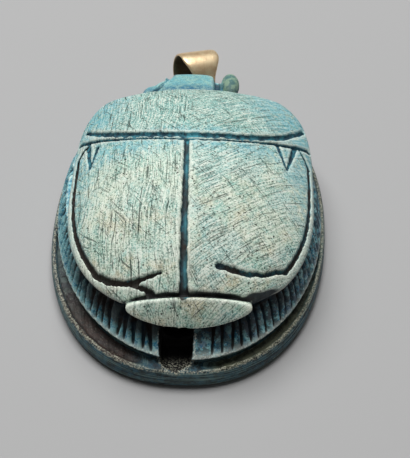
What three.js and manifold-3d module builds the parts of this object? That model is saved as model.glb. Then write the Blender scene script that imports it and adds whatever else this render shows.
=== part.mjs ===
// Scarab pendant: a beetle on an oval plate, carved from one piece of glazed soapstone and
// drilled from tail to head, with a folded gold strip bail set in the head end of the hole.
// Millimetres, +Z up, +Y towards the head. The origin is the centre of the flat underside.
import * as THREE from 'three';
import { mergeVertices } from 'three/addons/utils/BufferGeometryUtils.js';
import Module from 'manifold-3d';

const wasm = await Module();
wasm.setup();

// ---------------------------------------------------------------------------------------
// Driving dimensions
// ---------------------------------------------------------------------------------------

// Ovals of the plate and of the legs on it. A power of 2 is an ellipse and a higher one is
// squarer. The plate sits a little askew under the beetle.
const PLATE = {
  halfWidth: 13.95,
  halfLength: 19.75,
  power: 2.26,
  turn: THREE.MathUtils.degToRad(-3.5),
};
const LEGS = { halfWidth: 13.4, halfLength: 18.75, power: 2.03, turn: 0 };
const BASE_SIDES = 80;

// Sections from the underside up: [share of the oval, height]. The plate has a raised rim
// round a shallow recess, and the band of legs stands in the recess.
const RECESS_HEIGHT = 1.75;
const PLATE_PROFILE = [
  [0, 0],
  [0.968, 0],
  [0.994, 0.3],
  [1.0, 1.0],
  [0.985, 2.05],
  [0.97, 2.1],
  [0.955, RECESS_HEIGHT],
  [0, RECESS_HEIGHT],
];
const LEG_FOOT = 3.0;
const LEG_TOP = 6.1;
const LEG_PROFILE = [
  [0, 1.2],
  [0.968, 1.2],
  [0.97, 2.6],
  [0.996, LEG_FOOT],
  [0.985, 3.9],
  [0.955, 5.2],
  [0.915, LEG_TOP],
  [0, LEG_TOP],
];
// At the tail and at the head the legs are lower and lean in
const END_DROP = 0.95;
const END_LEAN = 0.045;

// Shell: wing cases and neck shield in one dome, a little askew on the plate
const SHELL_HALF_WIDTH = 12.1;
const SHELL_TAIL_LENGTH = 15.0;
const SHELL_TAIL_POWER = 2.5;
const SHELL_HEAD_LENGTH = 15.7;
const SHELL_HEAD_POWER = 3.6;
const SHELL_WAIST = -1.4;
const SHELL_SHIFT = 0.27;
const SHELL_TURN = THREE.MathUtils.degToRad(-2.4);
const SHELL_SIDES = 72;
const RIM_HEIGHT = 7.0;
const DOME_RISE = 5.8;
const SHELL_TAIL_CUT = -15.1;
const CORNER_CUT_START = 5.0;
const CORNER_CUT_SLOPE = 0.45;
const SHELL_HEAD_CUT = 12.6;

// Carved lines on the shell
const SEAM_MIDDLE = 0.8;
const SEAM_BOW = 0.03;
const SEAM_GAP = 0.68;
const SEAM_REACH = 11.4;
const COLLAR_FLARE = { left: 1.2, right: 2.5 };
const COLLAR_FLARE_AT = 11;
const WING_LINE_OFFSET = -0.4;
const LEFT_BORDER_INSET = 0.55;
const RIGHT_BORDER_INSET = 0.5;

// Tail plate, a lens-shaped facet that leans back under the end of the wing cases
const TAIL_PLATE_HALF_WIDTH = 5.8;
const TAIL_PLATE_ABOVE = 1.0;
const TAIL_PLATE_BELOW = 1.95;
const TAIL_PLATE_DEPTH = 2.6;
const TAIL_PLATE_PLACE = [-0.05, -16.25, 7.45];
const TAIL_PLATE_LEAN = THREE.MathUtils.degToRad(52);

// Head
const HEAD_FRONT = 17.7;
const HEAD_BACK = 11.6;
const HEAD_HALF_WIDTH = 2.95;
const HEAD_FRONT_HALF_WIDTH = 2.7;
const HEAD_BACK_HEIGHT = 8.2;
const HEAD_FRONT_HEIGHT = 6.9;
const CHEEK_HALF_WIDTH = 5.5;
const CHEEK_FRONT = 16.9;
const CHEEK_DROP = 0.35;
const NECK_GROOVE_DEPTH = 0.9;
const NECK_GROOVE_HALF_WIDTH = 0.9;
const EYES = [
  { place: [-4.3, 13.9, 6.6], size: [0.8, 1.5, 0.6] },
  { place: [4.4, 15.05, 7.25], size: [0.98, 1.6, 1.0] },
];

// Legs: gaps between them, and the short strokes that mark their hair
const LEG_GAPS = [
  { side: -1, y: 2.6 },
  { side: 1, y: 3.3 },
  { side: -1, y: 9.4 },
  { side: 1, y: 9.8 },
];
const STROKE_PITCH = 0.96;
const STROKES = {
  right: { width: 0.4, depth: 0.42, slant: THREE.MathUtils.degToRad(17) },
  left: { width: 0.5, depth: 0.5, slant: THREE.MathUtils.degToRad(6) },
};
const LEG_GAP_SLANT = THREE.MathUtils.degToRad(19);

// Hole drilled from tail to head, slightly across the plate
const BORE_RADIUS = 1.5;
const BORE_TAIL = new THREE.Vector3(-1.5, -21, 3.55);
const BORE_HEAD = new THREE.Vector3(2.05, 21, 3.9);
const MOUTH_BACK = -15.5;
const MOUTH_END = -17.6;
const MOUTH_FLOOR = 1.3;

// Bail: a gold strip bent into a loop, narrower at its pinched ends
const BAIL_LOOP_RADIUS = 2.35;
const BAIL_THICKNESS = 0.4;
const BAIL_WIDTH = 4.3;
const BAIL_NECK_WIDTH = 2.0;
const BAIL_NECK_LENGTH = 2.75;
const BAIL_TANG_LENGTH = 1.5;
const BAIL_TANG_THICKNESS = 0.9;
const BAIL_PINCH = new THREE.Vector3(1.85, 18.75, 3.85);
const BAIL_TURN = THREE.MathUtils.degToRad(20);
const BAIL_ROLL = THREE.MathUtils.degToRad(8);

// ---------------------------------------------------------------------------------------
// From geometry to solids and back
// ---------------------------------------------------------------------------------------

// A closed geometry as a solid: shared corners are merged, and triangles that close up at
// a pole are dropped.
function toSolid(geometry) {
  const bare = geometry.clone();
  bare.deleteAttribute('normal');
  bare.deleteAttribute('uv');
  const merged = mergeVertices(bare, 1e-4);
  const triangles = [];
  const index = merged.index.array;
  for (let i = 0; i < index.length; i += 3) {
    const [a, b, c] = [index[i], index[i + 1], index[i + 2]];
    if (a !== b && b !== c && c !== a) {
      triangles.push(a, b, c);
    }
  }
  const mesh = new wasm.Mesh({
    numProp: 3,
    vertProperties: new Float32Array(merged.attributes.position.array),
    triVerts: new Uint32Array(triangles),
  });
  return new wasm.Manifold(mesh);
}

// A solid as a geometry for a THREE.Mesh
function toGeometry(body) {
  const mesh = body.getMesh();
  const geometry = new THREE.BufferGeometry();
  geometry.setAttribute('position', new THREE.BufferAttribute(mesh.vertProperties, 3));
  geometry.setIndex(new THREE.BufferAttribute(mesh.triVerts, 1));
  geometry.computeVertexNormals();
  return geometry;
}

// A block between two corners
function block(low, high) {
  const geometry = new THREE.BoxGeometry(high[0] - low[0], high[1] - low[1], high[2] - low[2]);
  geometry.translate((low[0] + high[0]) / 2, (low[1] + high[1]) / 2, (low[2] + high[2]) / 2);
  return toSolid(geometry);
}

// A flat outline, given as [x, y] points, raised between two heights
function prism(outline, bottom, top) {
  const shape = new THREE.Shape(outline.map(([x, y]) => new THREE.Vector2(x, y)));
  const geometry = new THREE.ExtrudeGeometry(shape, { depth: top - bottom, bevelEnabled: false });
  geometry.translate(0, 0, bottom);
  return geometry;
}

// How far along the direction (dx, dy) an oval's edge lies, as a multiple of that direction
function ovalReach(dx, dy, halfWidth, halfLength, power) {
  const sum = Math.abs(dx / halfWidth) ** power + Math.abs(dy / halfLength) ** power;
  return sum ** (-1 / power);
}

// A body turned on the lathe from [share, height] points, whose rings are then pressed out
// of round: press(share, height, turn) gives the place of a point.
function pressedBody(profile, sides, press) {
  const points = profile.map(([share, height]) => new THREE.Vector2(share, height));
  const geometry = new THREE.LatheGeometry(points, sides);
  geometry.rotateX(Math.PI / 2);
  const position = geometry.attributes.position;
  for (let i = 0; i < position.count; i += 1) {
    const turn = Math.atan2(position.getY(i), position.getX(i));
    const share = Math.hypot(position.getX(i), position.getY(i));
    const [x, y, z] = press(share, position.getZ(i), turn);
    position.setXYZ(i, x, y, z);
  }
  return toSolid(geometry);
}

// A round-bottomed cutter that follows a smooth line through points
function grooveCutter(points, radius, steps, sides = 6) {
  const section = new THREE.Shape();
  section.absarc(0, 0, radius, 0, 2 * Math.PI);
  const geometry = new THREE.ExtrudeGeometry(section, {
    curveSegments: sides,
    steps,
    bevelEnabled: false,
    extrudePath: new THREE.CatmullRomCurve3(points),
  });
  return toSolid(geometry);
}

// ---------------------------------------------------------------------------------------
// Stone below the shell: plate and band of legs
// ---------------------------------------------------------------------------------------

// The point of an oval's edge at one turn round it
function ovalPoint(oval, turn) {
  const dx = oval.halfWidth * Math.cos(turn);
  const dy = oval.halfLength * Math.sin(turn);
  const reach = ovalReach(dx, dy, oval.halfWidth, oval.halfLength, oval.power);
  const cos = Math.cos(oval.turn);
  const sin = Math.sin(oval.turn);
  return [reach * (dx * cos - dy * sin), reach * (dx * sin + dy * cos)];
}

function pressPlate(share, height, turn) {
  const [x, y] = ovalPoint(PLATE, turn);
  return [x * share, y * share, height];
}

// Where a point of the legs' profile lies, with the legs lowered and leaning at both ends
function pressLegs(share, height, turn) {
  const end = Math.abs(Math.sin(turn)) ** 5;
  const legShare = THREE.MathUtils.clamp((height - LEG_FOOT) / (LEG_TOP - LEG_FOOT), 0, 1);
  const lean = share > 0.5 ? END_LEAN * end * Math.sqrt(legShare) : 0;
  const drop = share > 0 ? END_DROP * end * legShare : 0;
  const [x, y] = ovalPoint(LEGS, turn);
  return [x * (share - lean), y * (share - lean), height - drop];
}

// ---------------------------------------------------------------------------------------
// Shell
// ---------------------------------------------------------------------------------------

// From the shell's own axes to the part's
function fromShell(x, y) {
  const cos = Math.cos(SHELL_TURN);
  const sin = Math.sin(SHELL_TURN);
  return [x * cos - y * sin + SHELL_SHIFT, x * sin + y * cos];
}

function shellHalf(y) {
  const towardsHead = y > SHELL_WAIST;
  return {
    length: towardsHead ? SHELL_HEAD_LENGTH : SHELL_TAIL_LENGTH,
    power: towardsHead ? SHELL_HEAD_POWER : SHELL_TAIL_POWER,
  };
}

// Half width of the shell at its own y
function shellWidthAt(y) {
  const { length, power } = shellHalf(y);
  const along = Math.min(Math.abs(y - SHELL_WAIST) / length, 1);
  return SHELL_HALF_WIDTH * Math.max(1 - along ** power, 0) ** (1 / power);
}

// Height of the smooth dome at the shell's own x and y
function domeHeight(x, y) {
  const along = Math.min(Math.abs(y - SHELL_WAIST) / shellHalf(y).length, 1);
  const across = Math.min(Math.abs(x) / Math.max(shellWidthAt(y), 1e-3), 1);
  return RIM_HEIGHT + DOME_RISE * (1 - along ** 2) ** 0.7 * (1 - across ** 2) ** 0.78;
}

function shellRay(turn) {
  const towardsHead = Math.sin(turn) > 0;
  const length = towardsHead ? SHELL_HEAD_LENGTH : SHELL_TAIL_LENGTH;
  const power = towardsHead ? SHELL_HEAD_POWER : SHELL_TAIL_POWER;
  const dx = SHELL_HALF_WIDTH * Math.cos(turn);
  const dy = length * Math.sin(turn);
  const reach = ovalReach(dx, dy, SHELL_HALF_WIDTH, length, power);
  return [reach * dx, reach * dy];
}

function pressShell(share, height, turn) {
  const [dx, dy] = shellRay(turn);
  const x = share * dx;
  const y = SHELL_WAIST + share * dy;
  const onDome = height > RIM_HEIGHT;
  return [...fromShell(x, y), onDome ? domeHeight(x, y) : height];
}

// A point on the shell's surface, lifted by a little
function onShell(x, y, lift = 0) {
  const [worldX, worldY] = fromShell(x, y);
  return new THREE.Vector3(worldX, worldY, domeHeight(x, y) + lift);
}

function makeShell() {
  const wall = [
    [0, 4.4],
    [0.84, 4.4],
    [0.925, 5.7],
    [0.972, 6.5],
    [1.0, RIM_HEIGHT - 0.2],
    [1.0, RIM_HEIGHT],
  ];
  const domeShares = [0.98, 0.94, 0.87, 0.77, 0.64, 0.47, 0.26, 0];
  const dome = domeShares.map((share) => [share, RIM_HEIGHT + 1]);
  const whole = pressedBody([...wall, ...dome], SHELL_SIDES, pressShell);
  const corner = SHELL_TAIL_CUT + CORNER_CUT_SLOPE * (20 - CORNER_CUT_START);
  const tailOutline = [
    [-20, -30],
    [20, -30],
    [20, corner],
    [CORNER_CUT_START, SHELL_TAIL_CUT],
    [-20, SHELL_TAIL_CUT],
  ];
  const behind = toSolid(prism(tailOutline, 5.0, 20));
  const ahead = block([-20, SHELL_HEAD_CUT, 5.0], [20, 30, 20]);
  return whole.subtract(behind).subtract(ahead);
}

// ---------------------------------------------------------------------------------------
// Lines carved in the shell
// ---------------------------------------------------------------------------------------

// Points along a line y = rule(x) on the shell
function acrossShell(from, to, count, rule, lift) {
  const points = [];
  for (let i = 0; i <= count; i += 1) {
    const x = from + ((to - from) * i) / count;
    points.push(onShell(x, rule(x), lift));
  }
  return points;
}

function seamLine(x) {
  return SEAM_MIDDLE + SEAM_BOW * x * x;
}

// The broader line ahead of the seam, which leaves it at both sides
function collarLine(x) {
  const flare = x > 0 ? COLLAR_FLARE.right : COLLAR_FLARE.left;
  return seamLine(x) + SEAM_GAP + flare * (Math.abs(x) / COLLAR_FLARE_AT) ** 6;
}

// The line inside the rim of one wing case, from the shoulder to the tail, which then turns
// in towards the middle
function borderPoints(side, startInset, hook) {
  const points = [];
  const start = 3.2;
  const end = -11.8;
  const count = 11;
  for (let i = 0; i <= count; i += 1) {
    const y = start + ((end - start) * i) / count;
    const inset = startInset + 0.25 * (i / count) ** 2;
    points.push(onShell(side * (shellWidthAt(y) - inset), y));
  }
  return [...points, ...hook.map(([x, y]) => onShell(side * x, y))];
}

function shellCutters() {
  const seamEnd = SEAM_REACH;
  const seam = acrossShell(-seamEnd, seamEnd, 22, seamLine, 0.08);
  const collar = acrossShell(-seamEnd + 0.6, seamEnd - 0.4, 22, collarLine, 0.1);
  const wingLine = [];
  for (let i = 0; i <= 10; i += 1) {
    const y = SEAM_MIDDLE - ((SEAM_MIDDLE + 15.4) * i) / 10;
    wingLine.push(onShell(WING_LINE_OFFSET, y, 0.05));
  }
  const leftHook = [[8.3, -12.9], [5.8, -14.15], [3.5, -13.95], [2.3, -13.7]];
  const rightHook = [[8.3, -12.1], [5.6, -13.15], [2.9, -12.95]];
  return [
    grooveCutter(seam, 0.3, 16),
    grooveCutter(collar, 0.42, 16),
    grooveCutter(wingLine, 0.36, 10),
    grooveCutter(borderPoints(-1, LEFT_BORDER_INSET, leftHook), 0.3, 20),
    grooveCutter(borderPoints(1, RIGHT_BORDER_INSET, rightHook), 0.3, 20),
    grooveCutter([onShell(-5.3, -14.25), onShell(-4.2, -14.65), onShell(-2.9, -15.3)], 0.22, 3),
    grooveCutter([onShell(-10.6, 3.6), onShell(-10.07, -0.3, 0.15)], 0.2, 2),
    grooveCutter([onShell(-9.5, 2.5), onShell(-10.07, -0.3, 0.15)], 0.2, 2),
    grooveCutter([onShell(8.3, 2.6), onShell(9.3, -0.3, 0.15)], 0.2, 2),
    grooveCutter([onShell(10.1, 3.6), onShell(9.3, -0.3, 0.15)], 0.2, 2),
  ];
}

// ---------------------------------------------------------------------------------------
// Tail plate and head
// ---------------------------------------------------------------------------------------

// Drawn flat as two bows that meet in blunt ends, then leaned back
function makeTailPlate() {
  const outline = [];
  const count = 12;
  const endHeight = 0.22;
  for (let i = 0; i <= count; i += 1) {
    const across = -1 + (2 * i) / count;
    const bow = (1 - across ** 2) ** 0.8;
    outline.push([across * TAIL_PLATE_HALF_WIDTH, -endHeight - (TAIL_PLATE_BELOW - endHeight) * bow]);
  }
  for (let i = count; i >= 0; i -= 1) {
    const across = -1 + (2 * i) / count;
    const bow = 1 - across ** 2;
    outline.push([across * TAIL_PLATE_HALF_WIDTH, endHeight + (TAIL_PLATE_ABOVE - endHeight) * bow]);
  }
  const geometry = prism(outline, -TAIL_PLATE_DEPTH, 0);
  geometry.rotateX(TAIL_PLATE_LEAN);
  geometry.translate(...TAIL_PLATE_PLACE);
  return toSolid(geometry);
}

// A block of the head, cut off above by a slope that falls towards the front
function slopedBlock(outline, backHeight, frontHeight) {
  const raised = toSolid(prism(outline, 4.3, 10));
  const run = HEAD_FRONT - SHELL_HEAD_CUT;
  const slope = Math.atan2(backHeight - frontHeight, run);
  const cutter = new THREE.BoxGeometry(30, 30, 10);
  cutter.translate(0, 0, 5);
  cutter.rotateX(-slope);
  cutter.translate(0, SHELL_HEAD_CUT, backHeight);
  return raised.subtract(toSolid(cutter));
}

// A V-shaped cutter across the back of the head, where it meets the neck shield
function neckGroove() {
  const half = NECK_GROOVE_HALF_WIDTH;
  const outline = [[-2 * half, NECK_GROOVE_DEPTH], [0, -NECK_GROOVE_DEPTH], [2 * half, NECK_GROOVE_DEPTH]];
  const geometry = prism(outline, -10, 10);
  geometry.rotateX(Math.PI / 2);
  geometry.rotateZ(Math.PI / 2);
  geometry.translate(0, SHELL_HEAD_CUT + 0.1, HEAD_BACK_HEIGHT);
  return toSolid(geometry);
}

function makeHead() {
  const brow = slopedBlock(
    [
      [-HEAD_HALF_WIDTH, HEAD_BACK],
      [HEAD_HALF_WIDTH, HEAD_BACK],
      [HEAD_HALF_WIDTH, SHELL_HEAD_CUT + 2],
      [HEAD_FRONT_HALF_WIDTH, HEAD_FRONT - 0.5],
      [HEAD_FRONT_HALF_WIDTH - 0.6, HEAD_FRONT],
      [-HEAD_FRONT_HALF_WIDTH + 0.6, HEAD_FRONT],
      [-HEAD_FRONT_HALF_WIDTH, HEAD_FRONT - 0.5],
      [-HEAD_HALF_WIDTH, SHELL_HEAD_CUT + 2],
    ],
    HEAD_BACK_HEIGHT,
    HEAD_FRONT_HEIGHT,
  );
  const cheeks = slopedBlock(
    [
      [-CHEEK_HALF_WIDTH, HEAD_BACK],
      [CHEEK_HALF_WIDTH, HEAD_BACK],
      [CHEEK_HALF_WIDTH, SHELL_HEAD_CUT + 0.9],
      [HEAD_HALF_WIDTH + 0.3, CHEEK_FRONT],
      [-HEAD_HALF_WIDTH - 0.3, CHEEK_FRONT],
      [-CHEEK_HALF_WIDTH, SHELL_HEAD_CUT + 0.9],
    ],
    HEAD_BACK_HEIGHT - CHEEK_DROP,
    HEAD_FRONT_HEIGHT - CHEEK_DROP,
  );
  let head = brow.add(cheeks).subtract(neckGroove());
  for (const { place, size } of EYES) {
    const eye = new THREE.SphereGeometry(1, 12, 8);
    eye.scale(...size);
    eye.translate(...place);
    head = head.add(toSolid(eye));
  }
  return head;
}

// ---------------------------------------------------------------------------------------
// Cuts in the legs, and the hole
// ---------------------------------------------------------------------------------------

// A three-sided wedge that cuts a notch of one width and depth in the side of the legs. It is
// made lying along +X and is then turned to the direction in which the legs' oval faces.
function wedge(width, depth, bottom, top, slant, x, y) {
  const [ahead, behind] = [width / 2, -width / 2];
  const geometry = prism([[-depth, 0], [0.6, behind * 2.2], [0.6, ahead * 2.2]], 0, top - bottom);
  geometry.rotateX(slant);
  const outward = Math.atan2(
    Math.sign(y) * Math.abs(y / LEGS.halfLength) ** (LEGS.power - 1) / LEGS.halfLength,
    Math.sign(x) * Math.abs(x / LEGS.halfWidth) ** (LEGS.power - 1) / LEGS.halfWidth,
  );
  geometry.rotateZ(outward);
  geometry.translate(x, y, bottom);
  return toSolid(geometry);
}

// Turns round the legs at even steps of length, from one turn to another
function evenTurns(from, to, pitch) {
  const turns = [];
  const fine = 2000;
  let run = 0;
  let last = ovalPoint(LEGS, from);
  for (let i = 1; i <= fine; i += 1) {
    const turn = from + ((to - from) * i) / fine;
    const here = ovalPoint(LEGS, turn);
    run += Math.hypot(here[0] - last[0], here[1] - last[1]);
    if (run >= pitch) {
      turns.push(turn);
      run -= pitch;
    }
    last = here;
  }
  return turns;
}

function legCutters() {
  const cutters = [];
  const tail = -Math.PI / 2;
  const ranges = [
    { side: 1, stroke: STROKES.right, from: tail + 0.16, to: tail + 2.62 },
    { side: -1, stroke: STROKES.left, from: tail - 0.3, to: tail - 2.62 },
  ];
  for (const { side, stroke, from, to } of ranges) {
    const slant = -side * stroke.slant;
    for (const turn of evenTurns(from, to, STROKE_PITCH)) {
      const [x, y] = ovalPoint(LEGS, turn);
      const end = Math.abs(Math.sin(turn)) ** 5;
      const share = 0.99 - 0.03 * end;
      const bottom = LEG_FOOT + 0.25;
      cutters.push(wedge(stroke.width, stroke.depth, bottom, LEG_TOP + 0.4, slant, x * share, y * share));
    }
  }
  for (const { side, y } of LEG_GAPS) {
    const along = Math.abs(y / LEGS.halfLength) ** LEGS.power;
    const x = side * LEGS.halfWidth * (1 - along) ** (1 / LEGS.power);
    const slant = -side * LEG_GAP_SLANT;
    cutters.push(wedge(1.1, 0.95, LEG_FOOT - 0.2, LEG_TOP + 0.6, slant, x * 0.98, y * 0.98));
  }
  return cutters;
}

function makeBore() {
  const length = BORE_TAIL.distanceTo(BORE_HEAD);
  const geometry = new THREE.CylinderGeometry(BORE_RADIUS, BORE_RADIUS, length, 20);
  const direction = BORE_HEAD.clone().sub(BORE_TAIL).normalize();
  const turn = new THREE.Quaternion().setFromUnitVectors(new THREE.Vector3(0, 1, 0), direction);
  geometry.applyQuaternion(turn);
  const middle = BORE_TAIL.clone().add(BORE_HEAD).multiplyScalar(0.5);
  geometry.translate(middle.x, middle.y, middle.z);
  return toSolid(geometry);
}

// Middle of the hole at one y
function boreMiddle(y) {
  const share = (y - BORE_TAIL.y) / (BORE_HEAD.y - BORE_TAIL.y);
  return THREE.MathUtils.lerp(BORE_TAIL.x, BORE_HEAD.x, share);
}

// At the tail the hole is open above: a slot through the legs with a round end in the plate
function makeMouth() {
  const back = boreMiddle(MOUTH_BACK);
  const end = boreMiddle(MOUTH_END);
  const outline = [[back + BORE_RADIUS, MOUTH_BACK], [back - BORE_RADIUS, MOUTH_BACK]];
  const count = 8;
  for (let i = 0; i <= count; i += 1) {
    const turn = Math.PI + (Math.PI * i) / count;
    outline.push([end + BORE_RADIUS * Math.cos(turn), MOUTH_END + BORE_RADIUS * Math.sin(turn)]);
  }
  return toSolid(prism(outline, MOUTH_FLOOR, LEG_TOP + 1));
}

function makeScarab() {
  const plate = pressedBody(PLATE_PROFILE, BASE_SIDES, pressPlate);
  let legs = pressedBody(LEG_PROFILE, BASE_SIDES, pressLegs);
  for (const cutter of legCutters()) {
    legs = legs.subtract(cutter);
  }
  const base = plate.add(legs).subtract(makeMouth());
  let shell = makeShell();
  for (const cutter of shellCutters()) {
    shell = shell.subtract(cutter);
  }
  return base.add(shell).add(makeTailPlate()).add(makeHead()).subtract(makeBore());
}

// ---------------------------------------------------------------------------------------
// Bail
// ---------------------------------------------------------------------------------------

// Drawn from the side, with the loop ahead of the pinch, and then given its width
function makeBail() {
  const centre = BAIL_NECK_LENGTH;
  const outer = new THREE.Shape();
  const inner = new THREE.Path();
  const open = Math.acos(BAIL_LOOP_RADIUS / BAIL_NECK_LENGTH);
  const half = BAIL_TANG_THICKNESS / 2;
  outer.moveTo(-BAIL_TANG_LENGTH, -half);
  outer.lineTo(0, -half);
  outer.absarc(centre, 0, BAIL_LOOP_RADIUS, -Math.PI + open, Math.PI - open, false);
  outer.lineTo(0, half);
  outer.lineTo(-BAIL_TANG_LENGTH, half);
  outer.closePath();
  const innerRadius = BAIL_LOOP_RADIUS - BAIL_THICKNESS;
  inner.moveTo(0.55, 0);
  inner.absarc(centre, 0, innerRadius, Math.PI - open, -Math.PI + open, true);
  inner.closePath();
  outer.holes.push(inner);
  const geometry = new THREE.ExtrudeGeometry(outer, {
    depth: 1,
    steps: 1,
    curveSegments: 18,
    bevelEnabled: false,
  });
  geometry.translate(0, 0, -0.5);
  // x of the drawing runs along +Y, y is up and the depth lies across
  const position = geometry.attributes.position;
  for (let i = 0; i < position.count; i += 1) {
    const along = position.getX(i);
    const widen = THREE.MathUtils.smoothstep(along, -0.2, BAIL_NECK_LENGTH);
    const width = THREE.MathUtils.lerp(BAIL_NECK_WIDTH, BAIL_WIDTH, widen);
    const turn = BAIL_TURN * THREE.MathUtils.smoothstep(along, -0.6, 0.6);
    const x = position.getZ(i) * width;
    const ahead = Math.max(along, 0);
    position.setXYZ(
      i,
      x * Math.cos(turn) - ahead * Math.sin(turn),
      x * Math.sin(turn) + ahead * Math.cos(turn) + Math.min(along, 0),
      position.getY(i),
    );
  }
  geometry.rotateY(BAIL_ROLL);
  geometry.translate(BAIL_PINCH.x, BAIL_PINCH.y, BAIL_PINCH.z);
  return toSolid(geometry);
}

// ---------------------------------------------------------------------------------------
// The part
// ---------------------------------------------------------------------------------------

function piece(name, body, look) {
  const mesh = new THREE.Mesh(toGeometry(body), new THREE.MeshStandardMaterial(look));
  mesh.name = name;
  return mesh;
}

const pendant = new THREE.Group();
pendant.name = 'scarab_pendant';
pendant.add(piece('scarab', makeScarab(), { color: 0x8fb8ae, roughness: 0.55, metalness: 0 }));
pendant.add(piece('bail', makeBail(), { color: 0xc9a878, roughness: 0.3, metalness: 1 }));

export default pendant;
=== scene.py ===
# %% [markdown]
# # A carved scarab pendant
# The pendant is a beetle carved from one lump of soapstone. The stone was dyed and glazed
# turquoise, then rubbed back, so that the glaze stays blue in the cuts and turns pale on the
# high places. A folded strip of gold-coloured metal sits in the hole at the head.
# Everything is worked out in millimetres and turned to metres when a mesh is made.

# %% Load the frame
import math

import bmesh
import bpy
import numpy as np
import openvdb
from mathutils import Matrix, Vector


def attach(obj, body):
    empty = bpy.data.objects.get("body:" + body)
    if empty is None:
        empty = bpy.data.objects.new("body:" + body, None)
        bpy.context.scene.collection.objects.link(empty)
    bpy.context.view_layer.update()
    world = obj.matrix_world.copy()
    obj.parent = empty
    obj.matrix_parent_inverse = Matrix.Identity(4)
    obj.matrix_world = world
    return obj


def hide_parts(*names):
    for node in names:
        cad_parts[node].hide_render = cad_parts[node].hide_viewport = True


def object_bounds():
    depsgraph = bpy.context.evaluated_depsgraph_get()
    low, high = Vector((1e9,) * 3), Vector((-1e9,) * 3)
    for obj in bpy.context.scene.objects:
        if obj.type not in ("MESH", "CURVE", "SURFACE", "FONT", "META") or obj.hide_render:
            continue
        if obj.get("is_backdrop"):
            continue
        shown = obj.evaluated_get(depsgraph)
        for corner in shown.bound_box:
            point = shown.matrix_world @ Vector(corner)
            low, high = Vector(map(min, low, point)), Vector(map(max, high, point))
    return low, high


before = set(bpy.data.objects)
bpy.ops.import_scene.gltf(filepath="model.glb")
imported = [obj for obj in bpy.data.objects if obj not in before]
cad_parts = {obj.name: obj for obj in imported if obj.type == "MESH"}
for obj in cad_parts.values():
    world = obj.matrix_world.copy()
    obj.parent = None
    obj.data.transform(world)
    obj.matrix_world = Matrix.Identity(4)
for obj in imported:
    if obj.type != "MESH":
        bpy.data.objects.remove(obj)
cad_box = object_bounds()
MM = 0.001
cad_size = [round(v / MM, 2) for v in cad_box[1] - cad_box[0]]
print("frame loaded:", sorted(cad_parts), cad_size, "mm")

# %% [markdown]
# ## Camera, floor and light
# The pendant lies on its flat plate and the camera looks down on it from the tail. A long
# lens keeps the oval from looking stretched. One wide lamp behind the head does most of the
# work: it lights what faces up and leaves what faces the tail in shade, which is what makes
# the carving read. A grey world lifts the shade a little.

# %% Camera
CAMERA_DISTANCE = 130.0
CAMERA_HEIGHT_ANGLE = math.radians(47.0)
CAMERA_LENS = 98.3


def add_object(name, data):
    """An object in the scene."""
    made = bpy.data.objects.new(name, data)
    bpy.context.scene.collection.objects.link(made)
    return made


camera_data = bpy.data.cameras.new("camera")
camera_data.lens = CAMERA_LENS
camera_data.sensor_width = 36.0
camera_data.shift_x = 0.034
camera_data.shift_y = 0.0105
camera_data.clip_start = 0.005
camera_data.clip_end = 10.0
camera = add_object("camera", camera_data)
camera.location = (
    0.0,
    -CAMERA_DISTANCE * math.cos(CAMERA_HEIGHT_ANGLE) * MM,
    CAMERA_DISTANCE * math.sin(CAMERA_HEIGHT_ANGLE) * MM,
)
camera.rotation_euler = (math.pi / 2 - CAMERA_HEIGHT_ANGLE, 0.0, 0.0)
bpy.context.scene.camera = camera
print("camera at", [round(v / MM, 1) for v in camera.location], "mm")

# %% [markdown]
# ## Nodes written as sums
# A material is a net of nodes, and so is a Geometry Nodes tree. Two helpers keep both
# readable: `Wire` lets a node's output be added and multiplied as if it were a number, and
# `Net.node` makes any other node. A `Look` is a net that belongs to a material.

# %% Wires and nets
class Wire:
    """One output of a node. Arithmetic on it adds Math nodes."""

    def __init__(self, net, socket):
        self.net = net
        self.socket = socket

    def math(self, operation, first, second=0.0):
        return self.net.node("Math", {"operation": operation}, {0: first, 1: second})

    def __add__(self, other):
        return self.math("ADD", self, other)

    def __radd__(self, other):
        return self.math("ADD", other, self)

    def __sub__(self, other):
        return self.math("SUBTRACT", self, other)

    def __rsub__(self, other):
        return self.math("SUBTRACT", other, self)

    def __mul__(self, other):
        return self.math("MULTIPLY", self, other)

    def __rmul__(self, other):
        return self.math("MULTIPLY", other, self)

    def __truediv__(self, other):
        return self.math("DIVIDE", self, other)

    def __pow__(self, other):
        return self.math("POWER", self, other)

    def __abs__(self):
        return self.math("ABSOLUTE", self)

    def at_least(self, other):
        """The larger of this and another."""
        return self.math("MAXIMUM", self, other)

    def ramp(self, low, high, shape="LINEAR"):
        """0 at low, 1 at high, straight between them and held outside."""
        limits = {"Value": self, "From Min": low, "From Max": high}
        return self.net.node("MapRange", {"interpolation_type": shape}, limits)

    def smooth(self, low, high):
        """As ramp, with an even S between."""
        return self.ramp(low, high, "SMOOTHSTEP")


class Net:
    """A node tree whose nodes are all made by one method."""

    def __init__(self, tree):
        self.tree = tree

    def node(self, kind, settings=None, inputs=None, output=0):
        """A node of a kind, with its settings made first and then its values and links."""
        made = self.tree.nodes.new(kind if "Node" in kind else "ShaderNode" + kind)
        for key, value in (settings or {}).items():
            setattr(made, key, value)
        for key, value in (inputs or {}).items():
            if isinstance(value, Wire):
                self.tree.links.new(value.socket, made.inputs[key])
            else:
                made.inputs[key].default_value = value
        return Wire(self, made.outputs[output])

    def parts(self, vector):
        """The x, y and z of a vector."""
        return [self.node("SeparateXYZ", None, {0: vector}, axis) for axis in range(3)]

    def vector(self, x, y, z):
        return self.node("CombineXYZ", None, {0: x, 1: y, 2: z})


# %% Materials
MIX_FACTOR, MIX_UNDER, MIX_OVER, MIX_RESULT = 0, 6, 7, 2


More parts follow.
